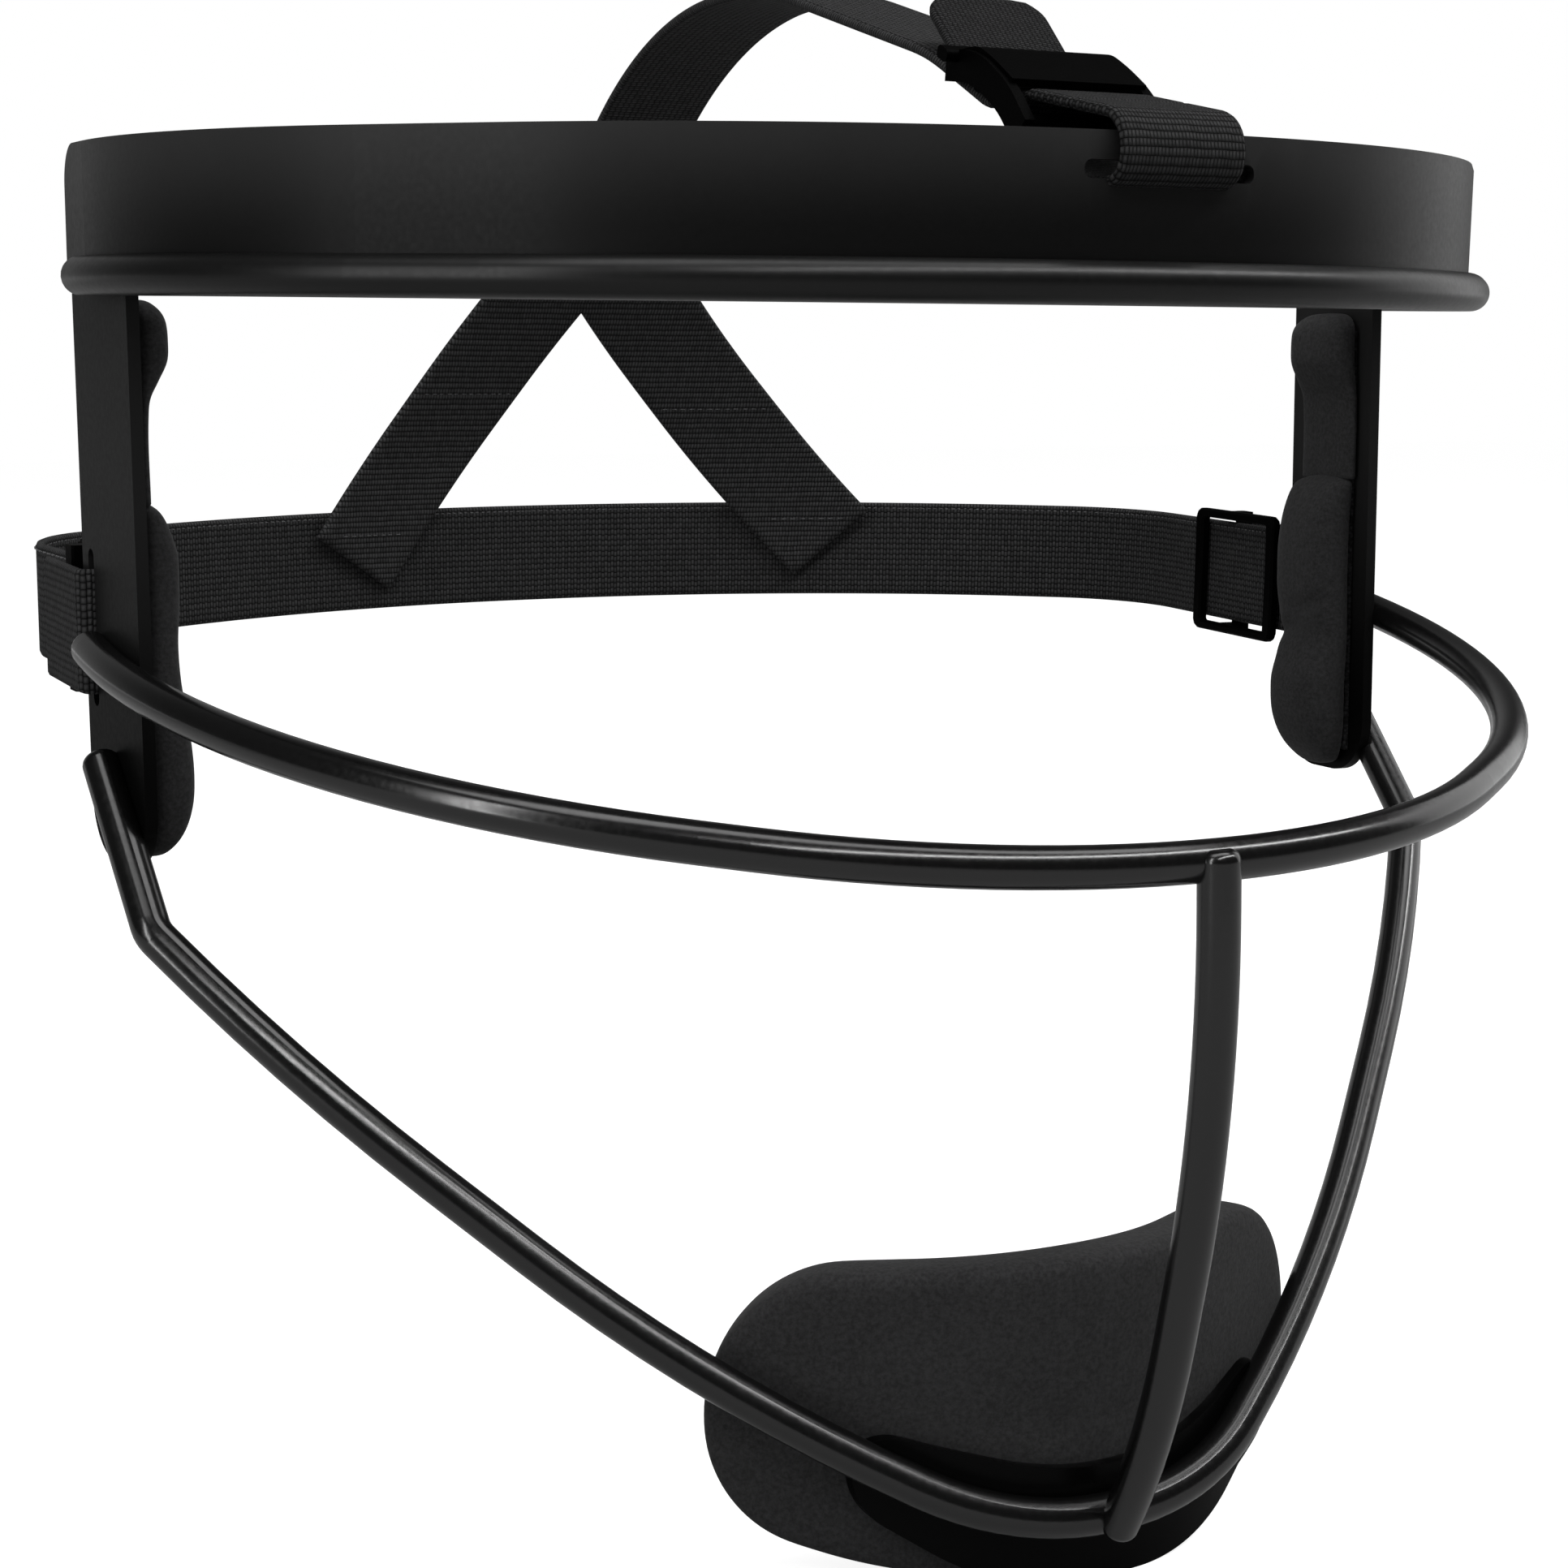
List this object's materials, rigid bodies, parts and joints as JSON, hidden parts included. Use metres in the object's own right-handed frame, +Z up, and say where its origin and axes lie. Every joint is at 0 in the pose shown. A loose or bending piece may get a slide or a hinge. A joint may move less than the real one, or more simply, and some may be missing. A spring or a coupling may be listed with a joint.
{
  "type": "softball face guard",
  "caption": "Open steel-bar face guard with a brow plate, cheek hoop, jaw bar, foam pads and an adjustable webbing harness over and behind the head.",
  "frame": {"origin": "on the mid-plane, level with the brow bar's plane at the side plates, between the two side plates near their rear edges", "axes": "+X to the wearer's left, -Y to the front of the face, +Z up"},
  "size_m": [0.1986, 0.1992, 0.1944],
  "materials": {
    "plate": "satin",
    "bar": "semi-gloss",
    "chin_plate": "gloss",
    "pad": "matte",
    "tape": "matte",
    "webbing": "woven",
    "adjuster": "matte"
  },
  "bodies": {
    "mask": {"brow_bar": "bar", "brow_plate": "plate", "side_plate_right": "plate", "side_plate_left": "plate", "cheek_hoop": "bar", "jaw_bar": "bar", "center_bar": "bar", "chin_plate": "chin_plate", "brow_pad": "pad", "temple_pad_right": "pad", "temple_pad_left": "pad", "cheek_pad_right": "pad", "cheek_pad_left": "pad", "chin_pad": "pad", "brow_pad_tape": "tape", "side_pad_tape_right": "tape", "side_pad_tape_left": "tape", "chin_pad_tape": "tape", "back_strap": "webbing", "slot_fold_right": "webbing", "slot_fold_left": "webbing", "crown_strap_right": "webbing", "crown_strap_left": "webbing", "top_strap": "webbing", "top_adjuster": "adjuster", "front_loop": "webbing"},
    "back_adjuster_right": {"back_adjuster_right": "adjuster"},
    "back_adjuster_left": {"back_adjuster_left": "adjuster"},
    "top_strap_tail": {"top_strap_tail": "webbing"}
  },
  "joints": [
    {"name": "right_slider", "type": "slide", "parent": "mask", "child": "back_adjuster_right", "axis": [-0.0706, 0.9968, 0.0369], "range_m": [0, 0.008]},
    {"name": "left_slider", "type": "slide", "parent": "mask", "child": "back_adjuster_left", "axis": [0.0706, 0.9968, 0.0369], "range_m": [0, 0.008]},
    {"name": "top_tail_pull", "type": "slide", "parent": "mask", "child": "top_strap_tail", "axis": [0, 0.891, 0.454], "range_m": [0, 0.008]}
  ]
}
